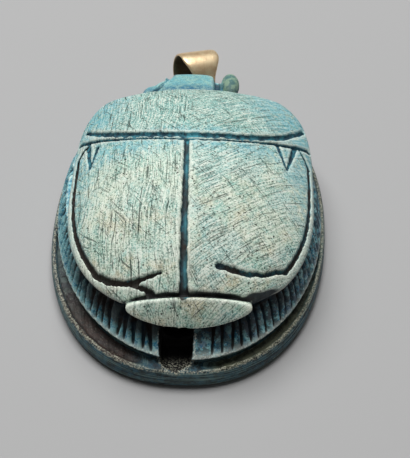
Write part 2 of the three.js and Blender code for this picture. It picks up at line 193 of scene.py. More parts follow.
class Look(Net):
    """The net of a material."""

    def __init__(self, name):
        self.material = bpy.data.materials.new(name)
        self.material.use_nodes = True
        super().__init__(self.material.node_tree)
        self.tree.nodes.clear()

    def measure(self):
        """The place on the object in millimetres, kept for noises, and its x, y and z."""
        place = self.node("TexCoord", None, None, "Object")
        to_mm = {"Vector": place, "Scale": (1 / MM, 1 / MM, 1 / MM)}
        self.place_mm = self.node("Mapping", None, to_mm)
        return self.parts(self.place_mm)

    def noise(self, scale, detail, roughness, shift, vector=None):
        """Cloudy noise with about `scale` clouds to a millimetre."""
        moved = {"Vector": vector or self.place_mm, "Location": (shift, shift * 0.7, -shift)}
        start = self.node("Mapping", None, moved)
        clouds = {"Vector": start, "Scale": scale, "Detail": detail, "Roughness": roughness}
        return self.node("TexNoise", None, clouds)

    def mix(self, factor, under, over):
        """One colour over another."""
        inputs = {MIX_FACTOR: factor, MIX_UNDER: under, MIX_OVER: over}
        return self.node("Mix", {"data_type": "RGBA", "clamp_factor": True}, inputs, MIX_RESULT)

    def layers(self, under, *coats):
        """Coats of (factor, colour) on a first colour, each over those before it."""
        for factor, over in coats:
            under = self.mix(factor, under, over)
        return under

    def attribute(self, name):
        """A number stored on the mesh, point by point."""
        return self.node("Attribute", {"attribute_name": name}, None, "Fac")

    def finish(self, inputs):
        """The Principled shader and the output, with constants set on the shader itself."""
        shader = self.node("BsdfPrincipled", None, inputs, "BSDF")
        output = self.tree.nodes.new("ShaderNodeOutputMaterial")
        self.tree.links.new(shader.socket, output.inputs["Surface"])
        return self.material


def colour(red, green, blue):
    """A colour given as on a screen, 0 to 255, as the linear values that shaders use."""
    linear = []
    for value in (red, green, blue):
        share = value / 255
        linear.append(share / 12.92 if share <= 0.04045 else ((share + 0.055) / 1.055) ** 2.4)
    return (*linear, 1.0)


# %% Floor, lamp and world
FLOOR_HALF = 1.5
FLOOR_GREY = colour(178, 178, 178)
LAMP_PLACE = (-0.05, 0.17, 0.5)
LAMP_SIZE = 0.42
LAMP_POWER = 3.4
WORLD_STRENGTH = 0.085

corners = [
    (x * FLOOR_HALF, y * FLOOR_HALF, 0.0) for x, y in ((-1, -1), (1, -1), (1, 1), (-1, 1))
]
floor_mesh = bpy.data.meshes.new("floor")
floor_mesh.from_pydata(corners, [], [(0, 1, 2, 3)])
floor_look = Look("pale board")
floor_mesh.materials.append(floor_look.finish({"Base Color": FLOOR_GREY, "Roughness": 0.75}))
add_object("floor", floor_mesh)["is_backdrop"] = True

lamp_data = bpy.data.lights.new("window", "AREA")
lamp_data.energy = LAMP_POWER
lamp_data.size = LAMP_SIZE
lamp = add_object("window", lamp_data)
lamp.location = LAMP_PLACE
lamp.rotation_euler = (-lamp.location).to_track_quat("-Z", "Y").to_euler()

world = bpy.data.worlds.new("studio")
world.use_nodes = True
background = world.node_tree.nodes["Background"]
background.inputs["Color"].default_value = (0.8, 0.8, 0.8, 1.0)
background.inputs["Strength"].default_value = WORLD_STRENGTH
bpy.context.scene.world = world
bpy.context.scene.view_settings.view_transform = "Standard"
print("lamp at", [round(v / MM) for v in lamp.location], "mm")

# %% [markdown]
# ## The stone, cut slice by slice
# Carving is taking away, so the stone is described the way a scanner would see it: for each
# height there is a map that says how far every place is from the surface, below zero inside
# the stone. Joining two forms is a smooth minimum of two maps and cutting is a maximum, so
# edges come out a little rounded, as rubbed stone is. A mesh is drawn where the map is zero.
# Plain modelling would need hundreds of knife cuts that meet cleanly. Here they just add up.

# %% Sizes of the stone, in millimetres
PLATE_HALF_WIDTH = 13.95
PLATE_HALF_LENGTH = 19.75
PLATE_POWER = 2.26
PLATE_TURN = math.radians(-3.5)
PLATE_HEIGHTS = [0.0, 0.3, 1.0, 1.7, 2.0, 2.4]
PLATE_SHARES = [0.968, 0.994, 1.0, 0.993, 0.985, 0.96]
LEDGE_HEIGHT = 2.1
RECESS_DEPTH = 0.4

LEG_HALF_WIDTH = 13.4
LEG_HALF_LENGTH = 18.75
LEG_POWER = 2.03
LEG_FOOT = 3.0
LEG_TOP = 6.1
LEG_HEIGHTS = [1.6, 2.75, LEG_FOOT, 3.2, 3.9, 5.2, LEG_TOP]
LEG_SHARES = [0.968, 0.972, 0.996, 1.0, 0.985, 0.955, 0.915]
END_DROP = 0.95
END_LEAN = 0.045

SHELL_HALF_WIDTH = 12.1
SHELL_TAIL_LENGTH = 15.0
SHELL_TAIL_POWER = 2.5
SHELL_HEAD_LENGTH = 15.7
SHELL_HEAD_POWER = 3.6
SHELL_WAIST = -1.4
SHELL_SHIFT = 0.27
SHELL_TURN = math.radians(-2.4)
RIM_HEIGHT = 7.0
DOME_RISE = 5.8
WALL_HEIGHTS = [4.4, 5.7, 6.5, 6.8]
WALL_SHARES = [0.84, 0.925, 0.972, 1.0]
SHELL_TAIL_CUT = -15.1
CORNER_CUT_START = 5.0
CORNER_CUT_SLOPE = 0.45
SHELL_HEAD_CUT = 12.6

# %% The map's grid
STEP = 0.12
GRID_LOW = (-14.6, -20.5, -0.6)
GRID_HIGH = (14.6, 20.5, 13.4)
grid_x, grid_y, grid_z = (
    np.arange(low, high + STEP, STEP) for low, high in zip(GRID_LOW, GRID_HIGH)
)
PLAN_X, PLAN_Y = np.meshgrid(grid_x, grid_y, indexing="ij")
print("map:", PLAN_X.shape, "places on each of", len(grid_z), "slices")


# %% Joining, cutting and unevenness
def join(first, second, rounding):
    """Two forms as one, with the corner between them filled by a small curve."""
    share = np.clip(0.5 + 0.5 * (second - first) / rounding, 0, 1)
    return second * (1 - share) + first * share - rounding * share * (1 - share)


def keep(form, limit, rounding):
    """What of a form lies inside a limit, with the edge rounded off."""
    return -join(-form, -limit, rounding)


def cut(form, tool, rounding):
    """A form with a tool's shape taken away."""
    return keep(form, -tool, rounding)


def ripple(x, y, length, seed):
    """Smooth unevenness between -1 and 1, with waves of about one length."""
    random = np.random.default_rng(seed)
    total = np.zeros(np.broadcast(x, y).shape)
    waves = 7
    for _ in range(waves):
        angle = random.uniform(0, 2 * math.pi)
        pitch = 2 * math.pi / (length * random.uniform(0.6, 1.7))
        phase = random.uniform(0, 2 * math.pi)
        total += np.sin(pitch * (x * math.cos(angle) + y * math.sin(angle)) + phase)
    return total / math.sqrt(waves) / 1.5


# %% Maps that don't change with height
def oval_share(x, y, half_width, half_length, power):
    """How far out a place is, as a share of an oval, and how fast that share grows."""
    across = np.abs(x) / half_width
    along = np.abs(y) / half_length
    share = np.maximum((across**power + along**power) ** (1 / power), 1e-4)
    steep = share ** (1 - power) * np.hypot(
        across ** (power - 1) / half_width, along ** (power - 1) / half_length
    )
    return share, np.maximum(steep, 0.01)


PLATE_X = PLAN_X * math.cos(PLATE_TURN) + PLAN_Y * math.sin(PLATE_TURN)
PLATE_Y = PLAN_Y * math.cos(PLATE_TURN) - PLAN_X * math.sin(PLATE_TURN)
plate_share, plate_steep = oval_share(
    PLATE_X, PLATE_Y, PLATE_HALF_WIDTH, PLATE_HALF_LENGTH, PLATE_POWER
)
leg_share, leg_steep = oval_share(
    PLAN_X, PLAN_Y, LEG_HALF_WIDTH, LEG_HALF_LENGTH, LEG_POWER
)
around = np.arctan2(PLAN_Y / LEG_HALF_LENGTH, PLAN_X / LEG_HALF_WIDTH)
ends = np.abs(np.sin(around)) ** 5

SHELL_X = (PLAN_X - SHELL_SHIFT) * math.cos(SHELL_TURN) + PLAN_Y * math.sin(SHELL_TURN)
SHELL_Y = PLAN_Y * math.cos(SHELL_TURN) - (PLAN_X - SHELL_SHIFT) * math.sin(SHELL_TURN)


def shell_end(y):
    """Length and power of the half oval, towards the head or the tail, that y lies in."""
    to_head = y > SHELL_WAIST
    length = np.where(to_head, SHELL_HEAD_LENGTH, SHELL_TAIL_LENGTH)
    return length, np.where(to_head, SHELL_HEAD_POWER, SHELL_TAIL_POWER)


shell_share, shell_steep = oval_share(
    SHELL_X, SHELL_Y - SHELL_WAIST, SHELL_HALF_WIDTH, *shell_end(SHELL_Y)
)


def shell_width(y):
    """Half the width of the shell at its own y."""
    length, power = shell_end(y)
    along = np.minimum(np.abs(y - SHELL_WAIST) / length, 1)
    return SHELL_HALF_WIDTH * np.maximum(1 - along**power, 0) ** (1 / power)


def dome_height(x, y):
    """Height of the smooth dome at the shell's own x and y."""
    along = np.minimum(np.abs(y - SHELL_WAIST) / shell_end(y)[0], 1)
    across = np.minimum(np.abs(x) / np.maximum(shell_width(y), 1e-3), 1)
    return RIM_HEIGHT + DOME_RISE * (1 - along**2) ** 0.7 * (1 - across**2) ** 0.78


smooth_dome = dome_height(SHELL_X, SHELL_Y)
slope_x, slope_y = np.gradient(smooth_dome, STEP)
dome_flat = 1 / np.sqrt(1 + np.minimum(slope_x**2 + slope_y**2, 6.0))
print("crest of the dome:", round(float(smooth_dome.max()), 2), "mm")

# %% [markdown]
# ## Lines cut in the shell
# The carver drew the wing cases with a graver: a double line behind the neck, one line down
# the middle, one inside each rim that hooks in at the tail, and a small V at each shoulder.
# Each is a list of a few points and widths, or a rule. `graved` turns it into a map of depth.

# %% Lines on the shell
def graved(path, half_width):
    """Share of a cut's depth along a path of (x, y, share of the width) points on the shell."""
    result = np.zeros_like(SHELL_X)
    wobble = 1 + 0.2 * ripple(PLAN_X, PLAN_Y, 0.7, len(path))
    for (x0, y0, w0), (x1, y1, w1) in zip(path, path[1:]):
        run_x, run_y = x1 - x0, y1 - y0
        run = run_x**2 + run_y**2
        along = np.clip(((SHELL_X - x0) * run_x + (SHELL_Y - y0) * run_y) / run, 0, 1)
        away = np.hypot(SHELL_X - x0 - along * run_x, SHELL_Y - y0 - along * run_y)
        share = w0 + along * (w1 - w0)
        width = half_width * share * wobble
        shape = np.clip(2.2 * (1 - away / np.maximum(width, 1e-3)), 0, 1)
        result = np.maximum(result, np.sqrt(np.clip(share, 0, 1)) * shape)
    return result


SEAM_MIDDLE = 0.8
SEAM_BOW = 0.03


def seam(x):
    """The line between the neck shield and the wing cases."""
    return SEAM_MIDDLE + SEAM_BOW * x * x


def collar(x):
    """The broader line ahead of the seam, which leaves it at both sides."""
    flare = 2.5 if x > 0 else 1.2
    return seam(x) + 0.68 + flare * (abs(x) / 11) ** 6


def across(rule, start, end, count, width):
    """Points along y = rule(x), with width(share) along the way."""
    shares = [i / count for i in range(count + 1)]
    xs = [start + (end - start) * share for share in shares]
    return [(x, rule(x), width(share)) for x, share in zip(xs, shares)]


def border(side, inset, hook):
    """The line inside the rim of one wing case, from the shoulder to its hook at the tail."""
    path = [(side * 10.6, 3.9, 0.5), (side * 11.1, 3.2, 0.8)]
    for i in range(15):
        y = 2.2 - i
        x = float(shell_width(np.array(y))) - inset - 0.25 * (i / 14) ** 2
        path.append((side * x, y, 0.85 + 0.25 * i / 14))
    return path + [(side * x, y, width) for x, y, width in hook]


seam_path = across(seam, -11.6, 11.6, 40, lambda s: 0.8 + 0.5 * abs(2 * s - 1) ** 3)
collar_path = across(collar, -11.0, 11.1, 40, lambda s: 1.1 - 0.5 * abs(2 * s - 1) ** 4)
wing_path = [(-0.55, 0.8, 0.75), (-0.42, -5.0, 0.85), (-0.35, -10.0, 1.0), (-0.2, -15.4, 1.15)]
left_hook = [
    (8.3, -12.9, 1.3), (7.0, -13.75, 1.5), (5.8, -14.15, 1.3),
    (4.6, -14.2, 1.3), (3.5, -13.95, 1.1), (2.3, -13.7, 0.7),
]
right_hook = [
    (8.3, -12.1, 1.1), (7.2, -12.8, 1.2), (5.6, -13.15, 1.4), (4.2, -13.1, 1.7),
    (2.9, -12.95, 1.8),
]

# Each line: path, half width, depth, and how brown the wax in it is
GRAVED_LINES = (
    (seam_path, 0.22, 0.4, 0.0),
    (collar_path, 0.42, 0.42, 0.0),
    (wing_path, 0.38, 0.6, 0.5),
    (border(-1, 0.55, left_hook), 0.2, 0.45, 0.9),
    (border(1, 0.5, right_hook), 0.17, 0.42, 0.6),
    ([(-5.3, -14.25, 0.9), (-4.2, -14.65, 1.1), (-3.0, -15.2, 1.2)], 0.2, 0.4, 1.0),
    ([(-10.6, 3.6, 1.0), (-10.07, -0.36, 0.5)], 0.28, 0.35, 0.2),
    ([(-9.5, 2.6, 0.8), (-10.07, -0.36, 0.4)], 0.24, 0.3, 0.2),
    ([(8.3, 2.7, 1.0), (9.3, -0.3, 0.5)], 0.22, 0.3, 0.3),
    ([(10.1, 3.6, 1.0), (9.3, -0.3, 0.4)], 0.28, 0.38, 0.3),
    ([(-0.2, -14.5, 0.7), (-0.1, -15.2, 1.2)], 0.45, 0.7, 0.7),
)
dome_cut = np.zeros_like(SHELL_X)
line_share = np.zeros_like(SHELL_X)
line_brown = np.zeros_like(SHELL_X)
for path, half_width, depth, brown in GRAVED_LINES:
    share = graved(path, half_width)
    line_brown = np.where(share > line_share, brown, line_brown)
    line_share = np.maximum(line_share, share)
    dome_cut = np.maximum(dome_cut, depth * share)
carved_dome = smooth_dome - dome_cut / dome_flat + 0.035 * ripple(PLAN_X, PLAN_Y, 3.5, 11)
print("deepest line:", round(float(dome_cut.max()), 2), "mm")

# %% [markdown]
# ## Tail plate, head and hole
# Behind the wing cases a lens-shaped facet leans back over the legs. The head is a sloping
# wedge with a cheek and an eye on each side. The hole was drilled from tail to head, a little
# across the plate, and it cuts a gutter in the ledge at the tail.

# %% Tail plate, head and hole
TAIL_PLATE_HALF_WIDTH = 5.8
TAIL_PLATE_ABOVE = 1.0
TAIL_PLATE_BELOW = 1.95
TAIL_PLATE_DEPTH = 2.6
TAIL_PLATE_PLACE = (-0.05, -16.25, 7.45)
TAIL_PLATE_LEAN = math.radians(52)
TAIL_PLATE_END = 0.22
LEAN_COS, LEAN_SIN = math.cos(TAIL_PLATE_LEAN), math.sin(TAIL_PLATE_LEAN)
HEAD_FRONT = 17.7
HEAD_BACK_HEIGHT = 8.2
HEAD_FRONT_HEIGHT = 6.9
HEAD_SLOPE = (HEAD_BACK_HEIGHT - HEAD_FRONT_HEIGHT) / (HEAD_FRONT - SHELL_HEAD_CUT)
BROW_PLAN = (HEAD_FRONT, 2.95, 2.65, 14.6)
CHEEK_DROP = 0.35
CHEEK_PLAN = (16.9, 5.5, 3.1, 13.2)
NECK_CUT = 11.4
# Each groove: where it starts, how much it leans, and half its width
HEAD_LINES = ((-3.75, 0.55, 0.1), (3.0, 0.0, 0.15))
# Each eye: x, y and height of its middle, and half its width, length and thickness
EYES = ((-4.3, 13.9, 6.6, 0.8, 1.5, 0.6), (4.4, 15.05, 7.25, 0.98, 1.6, 1.0))
BORE_RADIUS = 1.5
BORE_TAIL = np.array([-1.5, -21.0, 3.55])
BORE_HEAD = np.array([2.05, 21.0, 3.9])
MOUTH_END = -17.6
MOUTH_BACK = -15.5
MOUTH_FLOOR = 1.2


def tail_plate(z):
    """The leaning facet at one height."""
    x = PLAN_X - TAIL_PLATE_PLACE[0]
    y = PLAN_Y - TAIL_PLATE_PLACE[1]
    rise = z - TAIL_PLATE_PLACE[2]
    up = rise * LEAN_SIN + y * LEAN_COS
    out = rise * LEAN_COS - y * LEAN_SIN
    share = np.clip(np.abs(x) / TAIL_PLATE_HALF_WIDTH, 0, 1)
    above = TAIL_PLATE_END + (TAIL_PLATE_ABOVE - TAIL_PLATE_END) * (1 - share**2) ** 0.7
    below = TAIL_PLATE_END + (TAIL_PLATE_BELOW - TAIL_PLATE_END) * (1 - share**2) ** 0.8
    lens = np.maximum(up - above, -up - below) * 0.9
    sides = np.abs(x) - TAIL_PLATE_HALF_WIDTH
    crown = 0.12 * (up / 1.5) ** 2 + 0.1 * share**2
    nick = np.clip(1 - np.abs(x + 0.75 + 0.15 * up) / 0.14, 0, 1)
    nick = 0.22 * nick * np.clip((up + 0.4) * 3, 0, 1)
    front = out + crown + nick + 0.03 * ripple(PLAN_X, PLAN_Y, 1.3, 5)
    form = keep(keep(lens, sides, 0.3), front, 0.22)
    return np.maximum(form, -out - TAIL_PLATE_DEPTH)


def wedge_plan(front, half_back, half_front, start):
    """A plan that narrows towards the front."""
    narrowing = (half_back - half_front) / (front - start)
    half = half_back - narrowing * np.clip(PLAN_Y - start, 0, None)
    sides = (np.abs(PLAN_X - 0.05) - half) / math.hypot(1, narrowing)
    return keep(sides, PLAN_Y - front, 0.9)


def head(z):
    """Brow, cheeks and eyes at one height."""
    along = PLAN_Y - SHELL_HEAD_CUT
    top = HEAD_BACK_HEIGHT - HEAD_SLOPE * along
    crown = 0.03 * PLAN_X**2 + 0.015 * np.clip(along - 2.2, 0, None) ** 2
    dip = 1.0 * np.clip(1.15 - np.abs(along - 0.1) / 0.9, 0, 1)
    lines = np.zeros_like(PLAN_X)
    for start, lean, half in HEAD_LINES:
        away = np.abs(PLAN_X - start - lean * np.clip(along - 1.6, 0, 3)) - half
        lines = np.maximum(lines, 0.85 * np.clip(1.2 - away / 0.34, 0, 1))
    brow = keep(wedge_plan(*BROW_PLAN), (z - top + crown + dip) * 0.95, 0.3)
    cheek_top = top - CHEEK_DROP - 0.02 * PLAN_X**2 - dip * 0.5
    cheeks = keep(wedge_plan(*CHEEK_PLAN), (z - cheek_top) * 0.95, 0.35)
    form = join(brow, cheeks, 0.1)
    form = np.maximum(form, (z - top + lines) * 0.95)
    for x, y, height, wide, long, tall in EYES:
        flat = ((PLAN_X - x) / wide) ** 2 + ((PLAN_Y - y) / long) ** 2
        reach = np.sqrt(flat + ((z - height) / tall) ** 2)
        form = join(form, (reach - 1) * tall, 0.45)
    return np.maximum(form, NECK_CUT - PLAN_Y)


def bore(z):
    """The hole at one height: distance from its axis, less a rough radius."""
    axis = (BORE_HEAD - BORE_TAIL) / np.linalg.norm(BORE_HEAD - BORE_TAIL)
    dx, dy, dz = PLAN_X - BORE_TAIL[0], PLAN_Y - BORE_TAIL[1], z - BORE_TAIL[2]
    along = dx * axis[0] + dy * axis[1] + dz * axis[2]
    away = np.sqrt(np.maximum(dx**2 + dy**2 + dz**2 - along**2, 0))
    grain = 0.05 * ripple(PLAN_X + z * 0.7, PLAN_Y - z * 0.9, 0.45, 21)
    return away - BORE_RADIUS + grain


def mouth(z):
    """At the tail the hole is a slot up through the legs, with a round end in the ledge."""
    share = (PLAN_Y - BORE_TAIL[1]) / (BORE_HEAD[1] - BORE_TAIL[1])
    aside = PLAN_X - BORE_TAIL[0] - share * (BORE_HEAD[0] - BORE_TAIL[0])
    beyond = np.minimum(PLAN_Y - MOUTH_END, 0) * (1 if z < LEG_FOOT else 0)
    slot = np.hypot(aside, beyond) - BORE_RADIUS + 0.04 * ripple(PLAN_X + z, PLAN_Y, 0.5, 23)
    return np.maximum(keep(slot, MOUTH_FLOOR - z, 0.5), PLAN_Y - MOUTH_BACK)


# %% Base and shell
# The deep gaps between two legs: side and y
LEG_GAPS = ((-1, 2.6), (1, 3.3), (-1, 9.4), (1, 9.8))
SHELL_FLOOR = 4.4


def base(z):
    """Plate, ledge and legs at one height."""
    file_marks = 0.03 * ripple(PLAN_X * 0.12, np.full_like(PLAN_X, z * 3.2), 1.0, 31)
    reach = np.interp(z, PLATE_HEIGHTS, PLATE_SHARES)
    from_hole = np.clip((np.abs(PLAN_X - BORE_TAIL[0]) + 4 * (PLAN_Y > 0) - 2.2) / 1.5, 0, 1)
    ledge = LEDGE_HEIGHT - RECESS_DEPTH * from_hole * np.clip((0.972 - plate_share) / 0.02, 0, 1)
    ledge = ledge + 0.05 * ripple(PLATE_X, PLATE_Y, 1.1, 33)
    plate = keep((plate_share - reach) / plate_steep + file_marks, z - ledge, 0.12)
    plate = np.maximum(plate, -z)
    if z < LEDGE_HEIGHT - RECESS_DEPTH - 0.2:
        return plate
    stretch = 1 / (1 - END_DROP * ends / (LEG_TOP - LEG_FOOT))
    height = np.where(z > LEG_FOOT, LEG_FOOT + (z - LEG_FOOT) * stretch, z)
    climb = np.clip((height - LEG_FOOT) / (LEG_TOP - LEG_FOOT), 0, 1)
    reach = np.interp(height, LEG_HEIGHTS, LEG_SHARES) - END_LEAN * ends * np.sqrt(climb)
    legs = (leg_share - reach) / leg_steep
    for side, y in LEG_GAPS:
        away = np.abs(PLAN_Y - y - 0.35 * (z - 4.5)) + 50 * (PLAN_X * side < 0)
        legs = legs + 0.95 * np.clip(1 - away / 0.75, 0, 1) * np.clip((z - 2.9) * 2, 0, 1)
    return join(plate, np.maximum(legs, (height - LEG_TOP) * 0.9), 0.08)


def shell(z):
    """Wing cases and neck shield at one height."""
    reach = np.interp(z, WALL_HEIGHTS, WALL_SHARES)
    wall = (shell_share - reach) / shell_steep
    form = keep(wall, (z - carved_dome) * dome_flat, 0.18)
    tail_edge = SHELL_TAIL_CUT + CORNER_CUT_SLOPE * np.maximum(PLAN_X - CORNER_CUT_START, 0)
    tail_edge = tail_edge + 0.05 * ripple(PLAN_X, PLAN_Y * 0 + z, 1.2, 41)
    form = keep(form, tail_edge - PLAN_Y, 0.12)
    form = keep(form, PLAN_Y - SHELL_HEAD_CUT, 0.45)
    return np.maximum(form, SHELL_FLOOR - z)


def stone(z):
    """The whole stone at one height."""
    form = cut(base(z), mouth(z), 0.1)
    if z > 4.0:
        form = join(form, shell(z), 0.12)
        form = join(form, tail_plate(z), 0.08)
        form = join(form, head(z), 0.12)
    return cut(form, bore(z), 0.08)


def stacked(rule):
    """A rule's maps at all heights, as one block."""
    return np.stack([rule(z) for z in grid_z], axis=2).astype(np.float32)


field = stacked(stone)
hole_field = stacked(lambda z: np.minimum(bore(z), mouth(z)))
print("stone fills", round(float((field < 0).mean()) * 100, 1), "% of the map")

# %% [markdown]
# ## From map to mesh
# OpenVDB, which comes with Blender, draws a surface through the map where it is zero. The
# same map also tells where shade and wax would gather in hollows and where rubbing would
# wear: the share of stone in a small box round a place is half on a flat face, more in a cut
# and less on an edge. The shade in hollows that is painted into the colour comes from it.

# %% Mesh, painted shade in hollows and wear
HOLLOW_SHADE_CELLS = 9
EDGE_CELLS = 3
FAR_FROM_HOLE = 2.0
HOLE_COLOUR_TOP = 5.4


def blurred(values, radius):
    """Mean over a cube of cells, one axis at a time."""
    result = values
    for axis in range(3):
        padding = [(0, 0)] * 3
        padding[axis] = (radius + 1, radius)
        total = np.cumsum(np.pad(result, padding, mode="edge"), axis=axis, dtype=np.float32)
        size = values.shape[axis]
        upper = np.take(total, range(2 * radius + 1, 2 * radius + 1 + size), axis=axis)
        lower = np.take(total, range(0, size), axis=axis)
        result = (upper - lower) / (2 * radius + 1)
    return result


def sampled(values, places):
    """Values of a map at places given in cells, by mixing the eight cells around each."""
    low = np.clip(np.floor(places).astype(int), 0, np.array(values.shape) - 2)
    part = places - low
    result = np.zeros(len(places))
    for corner in range(8):
        step = np.array([corner & 1, corner >> 1 & 1, corner >> 2 & 1])
        weight = np.prod(np.where(step, part, 1 - part), axis=1)
        cell = low + step
        result += weight * values[cell[:, 0], cell[:, 1], cell[:, 2]]
    return result


volume = openvdb.FloatGrid(1.0)
volume.copyFromArray(field)
points, triangles, quads = volume.convertToPolygons(isovalue=0.0, adaptivity=0.0)
solid = np.clip(0.5 - field / STEP, 0, 1)
hollow_shade = sampled(blurred(solid, HOLLOW_SHADE_CELLS), points)
edge = sampled(blurred(solid, EDGE_CELLS), points)
plan_places = np.column_stack([points[:, 0], points[:, 1], np.zeros(len(points))])
point_heights = points[:, 2] * STEP + GRID_LOW[2]
on_shell = np.clip((point_heights - RIM_HEIGHT + 0.9) / 0.4, 0, 1)
line = on_shell * sampled(np.stack([line_share, line_share], axis=2), plan_places)
brown = sampled(np.stack([line_brown, line_brown], axis=2), plan_places)
from_hole = np.clip(np.abs(sampled(hole_field, points)), 0, FAR_FROM_HOLE)
hole = np.where(point_heights > HOLE_COLOUR_TOP, FAR_FROM_HOLE, from_hole)
print("surface:", len(points), "points,", len(quads), "quads,", len(triangles), "triangles")

# %% Stone mesh in metres, with numbers stored on its points
stone_mesh = bpy.data.meshes.new("scarab stone")
stone_mesh.vertices.add(len(points))
places = (points * STEP + np.array(GRID_LOW)) * MM
stone_mesh.vertices.foreach_set("co", places.astype(np.float32).ravel())
stone_mesh.loops.add(quads.size)
stone_mesh.loops.foreach_set("vertex_index", quads.astype(np.int32).ravel())
stone_mesh.polygons.add(len(quads))
starts = np.arange(0, quads.size, quads.shape[1], dtype=np.int32)
stone_mesh.polygons.foreach_set("loop_start", starts)
stone_mesh.polygons.foreach_set("use_smooth", np.ones(len(quads), dtype=bool))
stone_mesh.update(calc_edges=True)
numbers = {"hollow_shade": hollow_shade, "edge": edge, "line": line, "brown": brown, "hole": hole}
for name, values in numbers.items():
    stored = stone_mesh.attributes.new(name, "FLOAT", "POINT")
    stored.data.foreach_set("value", values.astype(np.float32))
stone_mesh.validate()
stone_piece = add_object("carved_scarab", stone_mesh)
print("stone mesh:", len(stone_mesh.vertices), "points")

# %% [markdown]
# ## Graver strokes on the legs
# The legs are a band of short slanted cuts that runs round the plate, so they follow a path
# and repeat: a task for Geometry Nodes. The tree draws the oval, spaces points along it,
# puts a short slanted line on each, measures how far each place of the stone is from the
# nearest line, and pushes the near ones in. The left hand cut wide notches and the right
# hand narrow ones, so the tree is used once for each side with its own sizes.

# %% Trees with named inputs
class Tree(Net):
    """A Geometry Nodes tree with named inputs."""

    def __init__(self, name):
        super().__init__(bpy.data.node_groups.new(name, "GeometryNodeTree"))
        self.inputs = self.tree.nodes.new("NodeGroupInput")
        self.identifiers = {}

    def given(self, name, default=None, kind="Float"):
        """A named input that the modifier can set."""
        kind = "NodeSocket" + kind
        made = self.tree.interface.new_socket(name, in_out="INPUT", socket_type=kind)
        self.identifiers[name] = made.identifier
        if default is not None:
            made.default_value = default
        return Wire(self, self.inputs.outputs[name])

    def finish(self, result):
        """Sends the result to the tree's output."""
        kind = "NodeSocketGeometry"
        self.tree.interface.new_socket("Geometry", in_out="OUTPUT", socket_type=kind)
        output = self.tree.nodes.new("NodeGroupOutput")
        self.tree.links.new(result.socket, output.inputs["Geometry"])


